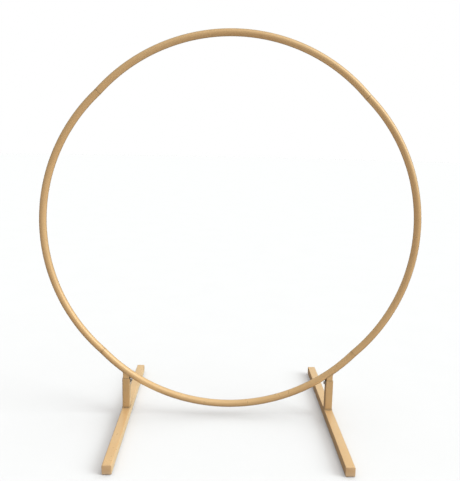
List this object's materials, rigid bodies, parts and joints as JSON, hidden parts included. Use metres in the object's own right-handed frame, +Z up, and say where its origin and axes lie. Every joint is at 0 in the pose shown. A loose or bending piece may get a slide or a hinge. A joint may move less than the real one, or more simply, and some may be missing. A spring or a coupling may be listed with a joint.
{
  "type": "wreath frame",
  "caption": "Round free-standing ring of painted metal tube on two floor beams, for dressing with flowers; the ring lifts out of square sockets.",
  "frame": {"origin": "on the floor, under the ring's centre, midway between the feet", "axes": "+Z up, +X along the ring's width, +Y along the floor beams towards the back"},
  "size_m": [2, 1.2, 2.053],
  "materials": {
    "ring_paint": "satin",
    "foot_paint": "satin",
    "sleeve_zinc": "satin",
    "screw_zinc": "satin",
    "bolt_zinc": "satin",
    "cap_plastic": "matte",
    "pad_rubber": "matte"
  },
  "bodies": {
    "ring": {"joint_screw_lower_left_a": "screw_zinc", "joint_screw_lower_left_b": "screw_zinc", "joint_screw_lower_right_a": "screw_zinc", "joint_screw_lower_right_b": "screw_zinc", "joint_screw_upper_left_a": "screw_zinc", "joint_screw_upper_left_b": "screw_zinc", "joint_screw_upper_right_a": "screw_zinc", "joint_screw_upper_right_b": "screw_zinc", "joint_sleeve_lower_left": "sleeve_zinc", "joint_sleeve_lower_right": "sleeve_zinc", "joint_sleeve_upper_left": "sleeve_zinc", "joint_sleeve_upper_right": "sleeve_zinc", "left_ring_stub": "ring_paint", "right_ring_stub": "ring_paint", "ring_arc_bottom": "ring_paint", "ring_arc_left": "ring_paint", "ring_arc_right": "ring_paint", "ring_arc_top": "ring_paint"},
    "left_foot": {"left_beam_cap_front": "cap_plastic", "left_beam_cap_rear": "cap_plastic", "left_floor_beam": "foot_paint", "left_foot_pad_front": "pad_rubber", "left_foot_pad_rear": "pad_rubber", "left_post": "foot_paint"},
    "right_foot": {"right_beam_cap_front": "cap_plastic", "right_beam_cap_rear": "cap_plastic", "right_floor_beam": "foot_paint", "right_foot_pad_front": "pad_rubber", "right_foot_pad_rear": "pad_rubber", "right_post": "foot_paint"},
    "left_clamp_washer": {"left_clamp_washer": "bolt_zinc"},
    "left_clamp_bolt": {"left_clamp_bolt": "bolt_zinc"},
    "right_clamp_washer": {"right_clamp_washer": "bolt_zinc"},
    "right_clamp_bolt": {"right_clamp_bolt": "bolt_zinc"}
  },
  "joints": [
    {"name": "ring_lift", "type": "slide", "parent": "left_foot", "child": "ring", "axis": [0, 0, 1], "range_m": [0, 0.08]},
    {"name": "right_foot_slide", "type": "slide", "parent": "ring", "child": "right_foot", "axis": [0, 0, -1], "range_m": [0, 0.08]},
    {"name": "left_clamp_travel", "type": "slide", "parent": "left_foot", "child": "left_clamp_washer", "axis": [1, 0, 0], "range_m": [0, 0.0045]},
    {"name": "left_clamp_turn", "type": "hinge", "parent": "left_clamp_washer", "child": "left_clamp_bolt", "pos_m": [-0.536, 0, 0.199], "axis": [1, 0, 0], "range_deg": [0, 1080]},
    {"name": "right_clamp_travel", "type": "slide", "parent": "right_foot", "child": "right_clamp_washer", "axis": [-1, 0, 0], "range_m": [0, 0.0045]},
    {"name": "right_clamp_turn", "type": "hinge", "parent": "right_clamp_washer", "child": "right_clamp_bolt", "pos_m": [0.536, 0, 0.199], "axis": [-1, 0, 0], "range_deg": [0, 1080]}
  ],
  "couplings": [
    {"joint": "right_foot_slide", "follows": "ring_lift", "ratio": 1},
    {"joint": "left_clamp_travel", "follows": "left_clamp_turn", "m_per_rad": 0.00023873},
    {"joint": "right_clamp_travel", "follows": "right_clamp_turn", "m_per_rad": 0.00023873}
  ]
}
